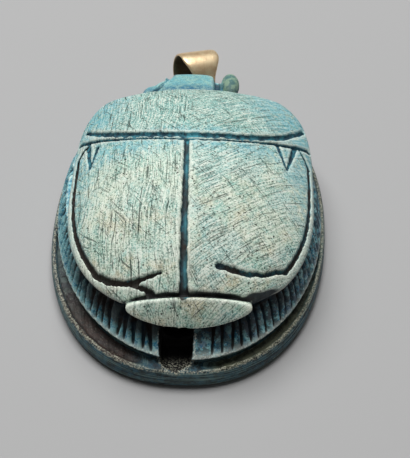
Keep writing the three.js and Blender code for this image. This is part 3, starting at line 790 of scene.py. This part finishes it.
# %% The tree of strokes
def stroke_tree():
    tree = Tree("graver strokes")
    stone_given = tree.given("Geometry", kind="Geometry")
    pitch = tree.given("Pitch", 0.96 * MM)
    width = tree.given("Half Width", 0.23 * MM)
    depth = tree.given("Depth", 0.42 * MM)
    slant = tree.given("Slant", 0.5 * MM)
    side = tree.given("Side", 1.0)
    foot = tree.given("Foot Height", 2.95 * MM)
    top = tree.given("Top Height", 5.6 * MM)
    widen = tree.given("Widen", 0.2)
    plain = tree.given("Plain Up To", 0.0)
    half_width = tree.given("Leg Half Width", LEG_HALF_WIDTH * 0.98 * MM)
    half_length = tree.given("Leg Half Length", LEG_HALF_LENGTH * 0.98 * MM)
    seed = tree.given("Seed", 7, "Int")
    finish = tree.given("Finish", kind="Material")

    # a unit circle pushed out to the legs' oval, with a point for each stroke
    circle = tree.node(
        "GeometryNodeCurvePrimitiveCircle", None, {"Resolution": 256, "Radius": 1.0}
    )
    x, y, _ = tree.parts(tree.node("GeometryNodeInputPosition"))
    spread = (abs(x) ** LEG_POWER + abs(y) ** LEG_POWER) ** (-1 / LEG_POWER)
    oval = tree.vector(x * spread * half_width, y * spread * half_length, foot)
    path = tree.node("GeometryNodeSetPosition", None, {"Geometry": circle, "Position": oval})
    path = tree.node(
        "GeometryNodeResampleCurve", {"mode": "LENGTH"}, {"Curve": path, "Length": pitch}
    )
    stray = (0.11 * MM, 0.11 * MM, 0.12 * MM)
    wander = tree.node(
        "FunctionNodeRandomValue",
        {"data_type": "FLOAT_VECTOR"},
        {"Min": tuple(-value for value in stray), "Max": stray, "Seed": seed},
    )
    path = tree.node("GeometryNodeSetPosition", None, {"Geometry": path, "Offset": wander})
    tangent = tree.node("GeometryNodeInputTangent")
    turned = tree.node(
        "FunctionNodeAlignRotationToVector", {"axis": "X"}, {"Vector": tangent}
    )

    # a leaning blade at each point
    outside = -1.5 * MM
    line_end = tree.vector(slant, outside, top - foot)
    edge = tree.node(
        "GeometryNodeMeshLine",
        {"mode": "END_POINTS", "count_mode": "TOTAL"},
        {"Count": 2, "Start Location": (0.0, outside, 0.0), "Offset": line_end},
    )
    inwards = tree.vector(0.0, 5.0 * MM, 0.0)
    blade = tree.node(
        "GeometryNodeExtrudeMesh", {"mode": "EDGES"}, {"Mesh": edge, "Offset": inwards}
    )
    blades = tree.node(
        "GeometryNodeInstanceOnPoints",
        None,
        {"Points": path, "Instance": blade, "Rotation": turned},
    )
    blades = tree.node("GeometryNodeRealizeInstances", None, {"Geometry": blades})

    # how far in the nearest blade pushes each place of the stone
    here = tree.node("GeometryNodeInputPosition")
    here_x, here_y, here_z = tree.parts(here)
    distance = tree.node(
        "GeometryNodeProximity",
        {"target_element": "FACES"},
        {"Geometry": blades, "Sample Position": here},
        "Distance",
    )
    ragged = tree.node("TexNoise", None, {"Vector": here, "Scale": 900.0, "Detail": 2.0})
    climb = here_z.ramp(foot, top)
    local_width = width * (0.7 + 0.6 * ragged) * (1 + widen * climb)
    notch = (distance / local_width).ramp(1.0, 0.15)
    height = here_z.ramp(foot, foot + 0.5 * MM) * here_z.ramp(top + 0.4 * MM, top)
    on_side = (here_x * side).ramp(plain, plain + 0.2 * MM)
    on_legs = (
        (abs(here_x) / half_width) ** LEG_POWER + (abs(here_y) / half_length) ** LEG_POWER
    ).ramp(0.74, 0.8)
    stroke = notch * height * on_side * on_legs

    # the strokes are kept as a number for the colour and pushed in
    previous = tree.node(
        "GeometryNodeInputNamedAttribute", {"data_type": "FLOAT"}, {"Name": "stroke"}
    )
    result = tree.node(
        "GeometryNodeStoreNamedAttribute",
        {"data_type": "FLOAT", "domain": "POINT"},
        {"Geometry": stone_given, "Name": "stroke", "Value": stroke.at_least(previous)},
    )
    normal = tree.node("GeometryNodeInputNormal")
    push = tree.node(
        "VectorMath", {"operation": "SCALE"}, {0: normal, "Scale": stroke * depth * -1.0}
    )
    result = tree.node("GeometryNodeSetPosition", None, {"Geometry": result, "Offset": push})
    result = tree.node("GeometryNodeRealizeInstances", None, {"Geometry": result})
    result = tree.node(
        "GeometryNodeSetMaterial", None, {"Geometry": result, "Material": finish}
    )
    tree.finish(result)
    return tree


# %% Strokes on both sides
def settle(piece):
    """The result of a piece's modifiers as its plain mesh."""
    graph = bpy.context.evaluated_depsgraph_get()
    mesh = bpy.data.meshes.new_from_object(piece.evaluated_get(graph))
    piece.modifiers.clear()
    piece.data = mesh


LEFT_STROKES = {
    "Side": -1.0,
    "Half Width": 0.21 * MM,
    "Depth": 0.6 * MM,
    "Slant": -0.75 * MM,
    "Widen": 1.3,
    "Seed": 3,
}
RIGHT_STROKES = {
    "Side": 1.0,
    "Half Width": 0.2 * MM,
    "Depth": 0.45 * MM,
    "Slant": 0.7 * MM,
    "Widen": 0.3,
    "Seed": 8,
    "Plain Up To": 1.9 * MM,
}
glazed_stone = Look("rubbed turquoise stone")
strokes = stroke_tree()
for sizes in (LEFT_STROKES, RIGHT_STROKES):
    modifier = stone_piece.modifiers.new("strokes", "NODES")
    modifier.node_group = strokes.tree
    for name, value in {"Finish": glazed_stone.material, **sizes}.items():
        modifier[strokes.identifiers[name]] = value
    settle(stone_piece)
print("strokes cut:", [a.name for a in stone_piece.data.attributes if a.domain == "POINT"])

# %% Thin the mesh
FACE_LIMIT = 185000
thin = stone_piece.modifiers.new("thin", "DECIMATE")
thin.ratio = FACE_LIMIT / (2 * len(quads))
settle(stone_piece)
print("stone triangles:", sum(len(p.vertices) - 2 for p in stone_piece.data.polygons))

# %% [markdown]
# ## The rubbed glaze
# The stone was dyed and glazed turquoise all over and then rubbed with abrasive. What the
# rubbing reached is pale and covered with fine scratches and pin holes; what it missed keeps
# the blue, and dark wax sits in the deepest cuts. Light and shade are painted in as well:
# shade on the tops of the legs, at the back of the head, in hollows, in the gap behind the
# wing cases, on walls that face the tail and inside the hole, and light on the foot of the
# legs, on the shell's edges and on one wall of the middle line. So the colour is built in
# that order: worn stone, the blue that is left, the dark in the cuts with its painted shade,
# and the pale edges with their painted highlight on top.

# %% Stone colours
PALE_STONE = colour(224, 240, 218)
GREEN_STONE = colour(178, 216, 196)
WARM_STONE = colour(230, 204, 160)
MINT_STONE = colour(136, 210, 204)
SKY_STONE = colour(142, 208, 216)
PALE_GRIT = colour(246, 252, 238)
DARK_GRIT = colour(56, 82, 74)
SCRATCH_DIRT = colour(36, 56, 48)
SPECK_DIRT = colour(42, 48, 40)
TURQUOISE = colour(96, 184, 204)
# Blue at the back of the head: glaze with painted shade where it meets the neck shield.
HEAD_GLAZE_AND_SHADE = colour(50, 118, 148)
# Teal in the lines: cloudy glaze, and painted light on the lit right wall of the middle line.
LIT_LINE_TEAL = colour(66, 146, 160)
DEEP_BLUE = colour(12, 58, 76)
LEG_BLUE = colour(40, 140, 172)
LEG_LIGHT = colour(158, 222, 228)
LEG_MAUVE = colour(120, 112, 140)
SHIELD_TEAL = colour(104, 168, 166)
HEAD_BLUE = colour(124, 188, 194)
EYE_PALE = colour(132, 162, 132)
EYE_GREEN = colour(62, 106, 100)
TEAL_WALL = colour(22, 38, 42)
WALL_GLAZE = colour(122, 152, 148)
BLUE_WALL = colour(46, 88, 104)
# Brown of the wax in the cuts, also used as painted shade on the tops of the legs and in hollows.
WAX_AND_SHADE_BROWN = colour(38, 26, 20)
RECESS_BROWN = colour(62, 42, 33)
BLUE_WAX = colour(12, 36, 50)
OLIVE_WAX = colour(86, 88, 66)
RIM_GRIT = colour(206, 206, 184)
# Near black: painted shade inside the hole and in the gap behind the wing cases, and dark wax
# patches in the ledge's recess.
SHADE_AND_WAX_BLACK = colour(22, 22, 23)
# Painted shade on the walls that face the tail.
TAIL_WALL_SHADE = colour(26, 38, 42)

# %% Places, noises and stored numbers
look = glazed_stone
x_mm, y_mm, z_mm = look.measure()
tail_mm = 0 - y_mm
hollow_shade_here, edge_here, stroke_here, line_here, brown_here, hole_here = (
    look.attribute(name) for name in ("hollow_shade", "edge", "stroke", "line", "brown", "hole")
)
cloud = look.noise(0.32, 4.0, 0.6, 3.0)
cloud_fine = look.noise(1.6, 4.0, 0.65, 9.0)
grain = look.noise(6.0, 3.0, 0.7, 14.0)
wax_cloud = look.noise(0.5, 2.0, 0.5, 51.0)


def brushed(angle, spacing, length, seed):
    """Noise drawn out along one direction, at an angle to the pendant's length."""
    turn = math.radians(angle)
    drift = look.noise(0.16, 1.0, 0.5, seed) - 0.5
    ahead = x_mm * math.sin(turn) + y_mm * math.cos(turn)
    aside = x_mm * math.cos(turn) - y_mm * math.sin(turn) + drift * 1.5
    drawn = look.vector(aside * (1 / spacing), ahead * (1 / length), 0.0)
    return look.noise(1.0, 2.0, 0.6, seed, drawn)


def scratches(angle, spacing, length, seed):
    """The darkest streaks of brushed noise, broken into strokes: what coarse abrasive leaves."""
    streak = 1 - brushed(angle, spacing, length, seed).smooth(0.33, 0.41)
    return streak * look.noise(0.6, 2.0, 0.6, seed + 2.5).smooth(0.38, 0.52)


# %% Where each colour goes
_, normal_y, facing_up = look.parts(look.node("NewGeometry", None, None, "Normal"))
facing_tail = (0 - normal_y).smooth(0.3, 0.6)
above_facet = z_mm - TAIL_PLATE_PLACE[2]
out_of_facet = above_facet * LEAN_COS - (y_mm - TAIL_PLATE_PLACE[1]) * LEAN_SIN
on_facet = (1 - abs(out_of_facet).smooth(0.22, 0.34)) * z_mm.smooth(5.7, 5.85)
on_facet = on_facet * (1 - y_mm.smooth(-15.2, -14.9))
above_rim = z_mm.smooth(6.3, 6.9)
low = 1 - z_mm.smooth(2.2, 2.6)
rubbed = (above_rim * facing_up.smooth(0.05, 0.45)).at_least(on_facet)
on_head = y_mm.smooth(12.75, 13.0)
in_cut = edge_here.smooth(0.56, 0.68)
sheltered = hollow_shade_here.smooth(0.5, 0.68)
on_edge = 1 - edge_here.smooth(0.36, 0.46)
sharp_edge = 1 - edge_here.smooth(0.37, 0.42)
left_side = 1 - x_mm.smooth(-1.2, 1.2)
right_side = 1 - left_side
tailwards = tail_mm.smooth(4.0, 14.0)

# %% Scratches and pin holes
scratch = (
    scratches(3.0, 0.2, 7.0, 1.0) * (0.25 + 0.75 * left_side)
    + scratches(-7.0, 0.14, 4.0, 6.0) * (0.2 + 0.6 * left_side)
    + scratches(57.0, 0.14, 9.0, 11.0) * (0.1 + 0.6 * right_side)
    + scratches(50.0, 0.11, 6.0, 14.0) * (0.1 + 0.5 * right_side)
    + scratches(-38.0, 0.17, 5.0, 17.0) * 0.7
)
brush_left = brushed(4.0, 0.13, 3.0, 61.0)
brush_right = brushed(54.0, 0.13, 3.0, 64.0)
brush = brush_left * left_side + brush_right * right_side
cells = {"Vector": look.place_mm, "Scale": 2.4}
speck = 1 - look.node("TexVoronoi", {"feature": "F1"}, cells, "Distance").smooth(0.14, 0.26)
pin_holes = speck * look.noise(0.8, 2.0, 0.5, 23.0).smooth(0.42, 0.6)

# %% Colour of the rubbed top
warm_place = tail_mm.smooth(-1.0, 14.0) * look.noise(0.42, 3.0, 0.6, 31.0).smooth(0.45, 0.66)
mint_place = cloud_fine.smooth(0.48, 0.66) * 0.4 + y_mm.smooth(-3.0, 3.0) * 0.4
sky_place = look.noise(0.22, 2.0, 0.5, 91.0).smooth(0.5, 0.62) * (0.3 + 0.5 * right_side)
outwards = (abs(x_mm) + y_mm * 0.25).smooth(6.5, 12.5)
near_collar = 1 - abs(y_mm - 1.2).smooth(0.6, 2.6)
left_blue = (outwards * 0.55).at_least(near_collar * 0.45)
worn = look.layers(
    look.mix(cloud.smooth(0.35, 0.62), GREEN_STONE, PALE_STONE),
    (warm_place * 0.6, WARM_STONE),
    (mint_place, MINT_STONE),
    (sky_place * 0.45, SKY_STONE),
    (y_mm.smooth(1.6, 2.6) * (0.3 + 0.2 * cloud_fine), SHIELD_TEAL),
    (brush.smooth(0.5, 0.66) * 0.75, PALE_GRIT),
    ((1 - brush.smooth(0.34, 0.5)) * 0.6, DARK_GRIT),
    (grain.smooth(0.52, 0.62) * 0.8, PALE_GRIT),
    ((1 - grain.smooth(0.36, 0.47)) * 0.8, DARK_GRIT),
    (left_blue * cloud_fine.smooth(0.36, 0.54), TURQUOISE),
    (scratch.smooth(0.0, 1.0) * 0.85, SCRATCH_DIRT),
    (pin_holes * 0.85, SPECK_DIRT),
)

# %% Colour of the head
eye_tint = look.mix(look.noise(1.6, 2.0, 0.6, 81.0).smooth(0.42, 0.56), EYE_GREEN, EYE_PALE)
right_groove = x_mm.smooth(2.6, 2.8) * (1 - x_mm.smooth(3.25, 3.45))
left_groove = 1 - abs(x_mm + 3.5 - (y_mm - 14.6) * 0.62).smooth(0.15, 0.4)
head_glaze = look.layers(
    # Painted shade: the head's blue deepens towards the neck shield, glaze and shade together.
    look.mix(y_mm.smooth(13.9, 15.6), HEAD_GLAZE_AND_SHADE, HEAD_BLUE),
    (cloud_fine.smooth(0.42, 0.62) * 0.5, GREEN_STONE),
    ((1 - grain.smooth(0.34, 0.5)) * 0.5, DEEP_BLUE),
    (x_mm.smooth(3.45, 3.7) * 0.85, eye_tint),
    (left_groove.at_least(right_groove) * 0.85, DEEP_BLUE),
)
worn = look.mix(on_head, worn, head_glaze)

# %% Colour of the legs
pooled = look.noise(1.5, 3.0, 0.6, 77.0)
mauve_place = look.noise(0.9, 2.0, 0.5, 71.0).smooth(0.5, 0.62) * (0.15 + 0.3 * right_side)
climb = (z_mm + (cloud_fine - 0.5) * 2.0).smooth(3.5, 4.6)
glaze = look.layers(
    look.mix(cloud_fine.smooth(0.38, 0.58), LEG_BLUE, LEG_LIGHT),
    ((1 - grain.smooth(0.35, 0.48)) * 0.6, DEEP_BLUE),
    (grain.smooth(0.55, 0.65) * 0.6, PALE_GRIT),
    (mauve_place, LEG_MAUVE),
    (pooled.smooth(0.5, 0.56) * left_side * 0.6, LEG_LIGHT),
    ((1 - pooled.smooth(0.46, 0.56)) * right_side * 0.75, BLUE_WAX),
    # Painted light: the foot of the legs is paler, as lit.
    ((1 - z_mm.smooth(3.1, 3.7)) * 0.45, PALE_GRIT),
    # Painted shade: the tops of the legs darken under the shell, more towards the tail.
    (climb * tailwards * (0.6 + 0.3 * left_side), WAX_AND_SHADE_BROWN),
)

# %% Colour of the wall and ledge
wall_lines = look.vector(x_mm * 0.12, y_mm * 0.12, z_mm * 6.0)
striation = look.noise(1.0, 5.0, 0.75, 41.0, wall_lines)
wall = look.layers(
    look.mix(cloud_fine.smooth(0.4, 0.6), TEAL_WALL, BLUE_WALL),
    (striation.smooth(0.48, 0.6) * 0.8, WALL_GLAZE),
    ((1 - striation.smooth(0.34, 0.44)) * 0.8, BLUE_WAX),
)
recess_wax = look.layers(
    look.mix(x_mm.smooth(-1.0, 3.0), RECESS_BROWN, OLIVE_WAX),
    ((1 - cloud_fine.smooth(0.4, 0.56)) * 0.6, SHADE_AND_WAX_BLACK),
    (grain.smooth(0.58, 0.7) * 0.35, RIM_GRIT),
)
beside_hole = abs(x_mm + 1.4).smooth(2.4, 4.5)
in_recess = facing_up.smooth(0.5, 0.8) * z_mm.smooth(1.3, 1.6) * beside_hole
ledge_colour = look.mix(in_recess * (0.45 + 0.5 * tailwards), wall, recess_wax)
# Painted shade: walls that face the tail are darkened.
shaded_tail_wall = facing_tail * z_mm.smooth(5.4, 5.9) * tailwards
unrubbed = look.layers(look.mix(low, glaze, ledge_colour), (shaded_tail_wall * 0.9, TAIL_WALL_SHADE))

# %% Wax, painted shade and painted light in the cuts
wax_tint = look.mix(wax_cloud.smooth(0.42, 0.58), WAX_AND_SHADE_BROWN, BLUE_WAX)
# Painted shade in hollows, tinted as the wax, stronger towards the tail.
hollow_shade_and_wax = sheltered * (1 - above_rim) * (1 - low) * (0.3 + 0.5 * tailwards)
# Painted light: the right wall of the middle line is lit teal, mixed with cloudy teal glaze.
right_of_middle = (x_mm + 0.3 + (0.8 - y_mm) * 0.018).smooth(-0.14, 0.14)
near_middle = x_mm.smooth(-1.4, -1.2) * (1 - x_mm.smooth(0.8, 1.0))
lit_line = (right_of_middle * near_middle).at_least(cloud_fine.smooth(0.44, 0.64) * 0.7)
in_brown = (brown_here + (wax_cloud - 0.5) * 0.8).smooth(0.3, 0.7)
line_tint = look.layers(DEEP_BLUE, (lit_line, LIT_LINE_TEAL), (in_brown, WAX_AND_SHADE_BROWN))
line_mask = (line_here + (grain - 0.5) * 0.5).smooth(0.25, 0.5)
# Painted shade: near black in the gap between the wing cases and the tail plate.
gap_shade_behind_shell = z_mm.smooth(6.6, 7.0) * tail_mm.smooth(14.4, 14.8) * (1 - on_facet)
gap_shade_behind_shell = gap_shade_behind_shell * hollow_shade_here.smooth(0.5, 0.58)

# %% Grit and painted shade in the hole, grit and painted highlight on the edges
low_grit = sharp_edge * grain.smooth(0.46, 0.56) * (1 - above_rim)
# Pale grit on the low edges; on the shell the pale edges are a painted highlight.
edge_grit_and_highlight = low_grit * 0.65 + on_edge * above_rim * 0.45
grit_floor = grain.smooth(0.5, 0.6) * (1 - z_mm.smooth(1.9, 2.4)) * tail_mm.smooth(16.6, 18.0)
# Painted shade: the inside of the hole is near black, with grit on its floor.
hole_shade_and_grit = look.mix(grit_floor * 0.95, SHADE_AND_WAX_BLACK, RIM_GRIT)
beside_rim = (1 - hole_here.smooth(0.1, 0.4)) * hole_here.smooth(0.05, 0.1)
hole_rim = beside_rim * grain.smooth(0.45, 0.58) * low

# %% All the colours in order
stone_colour = look.layers(
    look.mix(rubbed, unrubbed, worn),
    (edge_grit_and_highlight * (1 - on_head * 0.7), look.mix(low, PALE_GRIT, RIM_GRIT)),
    (hollow_shade_and_wax, wax_tint),
    (in_cut * 0.7 * (1 - low), DEEP_BLUE),
    (line_mask * 0.95, line_tint),
    (stroke_here.smooth(0.2, 0.6) * 0.95, wax_tint),
    (gap_shade_behind_shell * 0.95, SHADE_AND_WAX_BLACK),
    (1 - hole_here.smooth(0.05, 0.12), hole_shade_and_grit),
    (hole_rim * 0.8, RIM_GRIT),
)

# %% Relief and gloss
surface = 0.4 * cloud_fine + 0.3 * grain + 0.3 * brush - 0.5 * scratch - 0.6 * pin_holes
relief_inputs = {"Strength": 0.8, "Distance": 0.1 * MM, "Height": surface + striation * low}
relief = look.node("Bump", None, relief_inputs)
gloss = 0.5 + 0.16 * cloud_fine + 0.15 * scratch + 0.25 * line_mask
look.finish({"Base Color": stone_colour, "Roughness": gloss, "Normal": relief, "IOR": 1.5})
print("stone look:", len(look.tree.nodes), "nodes")

# %% [markdown]
# ## The gold bail
# A strip of thin metal was folded into a loop and its two ends pushed into the hole. It is
# the frame's own strip made again with rounded edges, finer turns and small dents, because
# polished metal shows every flat. A sweep of the strip's section along the loop does that.

# %% Bail sizes
BAIL_LOOP_RADIUS = 2.35
BAIL_THICKNESS = 0.4
BAIL_MIDDLE_RADIUS = BAIL_LOOP_RADIUS - BAIL_THICKNESS / 2
BAIL_WIDTH = 4.3
BAIL_NECK_WIDTH = 2.0
BAIL_NECK_LENGTH = 2.75
BAIL_TANG_LENGTH = 1.5
BAIL_TANG_THICKNESS = 0.9
BAIL_PINCH = (1.85, 18.75, 3.85)
BAIL_TURN = math.radians(20)
BAIL_ROLL = math.radians(8)
LOOP_TURNS = 96
TANG_STEPS = 14
SECTION_TURNS = 20


def smooth_step(low, high, value):
    share = min(max((value - low) / (high - low), 0.0), 1.0)
    return share * share * (3 - 2 * share)


# %% Bail strip
def bail_path():
    """The strip's middle line in its own plane: out along one tang, round the loop and back."""
    start = math.pi - math.acos(BAIL_LOOP_RADIUS / BAIL_NECK_LENGTH)
    ring = []
    for i in range(LOOP_TURNS + 1):
        angle = -start + 2 * start * i / LOOP_TURNS
        along = BAIL_NECK_LENGTH + BAIL_MIDDLE_RADIUS * math.cos(angle)
        ring.append((along, BAIL_MIDDLE_RADIUS * math.sin(angle)))
    gap = (BAIL_TANG_THICKNESS - BAIL_THICKNESS) / 2
    length = BAIL_TANG_LENGTH
    first = [(-length + length * i / TANG_STEPS, -gap) for i in range(TANG_STEPS)]
    last = [(-length * i / TANG_STEPS, gap) for i in range(1, TANG_STEPS + 1)]
    neck = [(ring[0][0] * t, -gap + (ring[0][1] + gap) * t) for t in (0.25, 0.5, 0.75)]
    back = [(ring[-1][0] * t, gap + (ring[-1][1] - gap) * t) for t in (0.75, 0.5, 0.25)]
    return first + [(0.0, -gap)] + neck + ring + back + [(0.0, gap)] + last


def bail_section(place, normal):
    """One round-edged section of the strip, and which of its points lie inside the loop."""
    along, up = place
    widen = smooth_step(-0.2, BAIL_NECK_LENGTH, along)
    half_width = (BAIL_NECK_WIDTH + (BAIL_WIDTH - BAIL_NECK_WIDTH) * widen) / 2
    section = []
    inside = []
    for j in range(SECTION_TURNS):
        cosine = math.cos(2 * math.pi * j / SECTION_TURNS)
        sine = math.sin(2 * math.pi * j / SECTION_TURNS)
        wide = abs(cosine) ** 0.35 * math.copysign(half_width, cosine)
        thick = abs(sine) ** 0.6 * math.copysign(BAIL_THICKNESS / 2, sine)
        a = along + normal[0] * thick
        u = up + normal[1] * thick
        from_middle = math.hypot(a - BAIL_NECK_LENGTH, u)
        inside.append(1.0 if from_middle < BAIL_MIDDLE_RADIUS - 0.05 else 0.0)
        turn = BAIL_TURN * smooth_step(-0.6, 0.6, a)
        forward = max(a, 0.0)
        x = wide * math.cos(turn) - forward * math.sin(turn)
        y = wide * math.sin(turn) + forward * math.cos(turn) + min(a, 0.0)
        section.append((x, y, u))
    return section, inside


def bail_mesh():
    path = bail_path()
    points = []
    inside = []
    for i, place in enumerate(path):
        ahead = path[min(i + 1, len(path) - 1)]
        behind = path[max(i - 1, 0)]
        run = (ahead[0] - behind[0], ahead[1] - behind[1])
        size = math.hypot(*run)
        section, section_inside = bail_section(place, (run[1] / size, -run[0] / size))
        points += section
        inside += section_inside
    points = np.array(points)
    rolled = points.copy()
    rolled[:, 0] = points[:, 0] * math.cos(BAIL_ROLL) + points[:, 2] * math.sin(BAIL_ROLL)
    rolled[:, 2] = points[:, 2] * math.cos(BAIL_ROLL) - points[:, 0] * math.sin(BAIL_ROLL)
    rolled += np.array(BAIL_PINCH)
    last = (len(path) - 1) * SECTION_TURNS
    faces = []
    for low in range(0, last, SECTION_TURNS):
        high = low + SECTION_TURNS
        for j in range(SECTION_TURNS):
            k = (j + 1) % SECTION_TURNS
            faces.append((low + j, low + k, high + k, high + j))
    faces.append(tuple(reversed(range(SECTION_TURNS))))
    faces.append(tuple(last + j for j in range(SECTION_TURNS)))
    mesh = bpy.data.meshes.new("gold bail")
    mesh.from_pydata((rolled * MM).tolist(), [], faces)
    mesh.update()
    stored = mesh.attributes.new("inside", "FLOAT", "POINT")
    stored.data.foreach_set("value", np.array(inside, dtype=np.float32))
    return mesh


bail_piece = add_object("gold_bail", bail_mesh())
shape = bmesh.new()
shape.from_mesh(bail_piece.data)
bmesh.ops.recalc_face_normals(shape, faces=shape.faces)
for face in shape.faces:
    face.smooth = len(face.verts) == 4
shape.to_mesh(bail_piece.data)
shape.free()
print("bail faces:", len(bail_piece.data.polygons))

# %% Gold finish
PALE_GOLD = colour(244, 220, 178)
DEEP_GOLD = colour(226, 192, 150)
RUBBED_GOLD = colour(150, 128, 96)
# Painted shade inside the loop of the bail.
BAIL_INNER_SHADE = colour(46, 40, 24)

look = Look("worn gold strip")
x_mm, y_mm, z_mm = look.measure()
tarnish = look.noise(1.1, 3.0, 0.6, 2.0)
drawn = look.vector(x_mm * 7.0, y_mm * 0.9, z_mm * 0.9)
rub_marks = look.noise(1.0, 2.0, 0.6, 5.0, drawn)
gold = look.layers(
    look.mix(tarnish.smooth(0.35, 0.7), PALE_GOLD, DEEP_GOLD),
    (rub_marks.smooth(0.55, 0.75) * 0.3, RUBBED_GOLD),
    # Painted shade inside the loop.
    (look.attribute("inside") * 0.85, BAIL_INNER_SHADE),
)
dent_inputs = {"Strength": 0.35, "Distance": 0.04 * MM, "Height": tarnish + 0.4 * rub_marks}
dents = look.node("Bump", None, dent_inputs)
gloss = 0.28 + 0.16 * rub_marks
look.finish({"Base Color": gold, "Metallic": 0.6, "Roughness": gloss, "Normal": dents})
bail_piece.data.materials.append(look.material)
print("gold look:", len(look.tree.nodes), "nodes")

# %% [markdown]
# ## Hand the pieces to the frame
# Each new piece stands for one node of the frame and rides on its only body.

# %% Pieces and frame
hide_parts("scarab")
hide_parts("bail")
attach(stone_piece, "root")
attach(bail_piece, "root")
made_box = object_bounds()
sizes = {"cad": [list(corner) for corner in cad_box], "made": [list(corner) for corner in made_box]}
for name, (low, high) in (("cad", cad_box), ("made", made_box)):
    print(name, [round(v / MM, 2) for v in low], [round(v / MM, 2) for v in high])
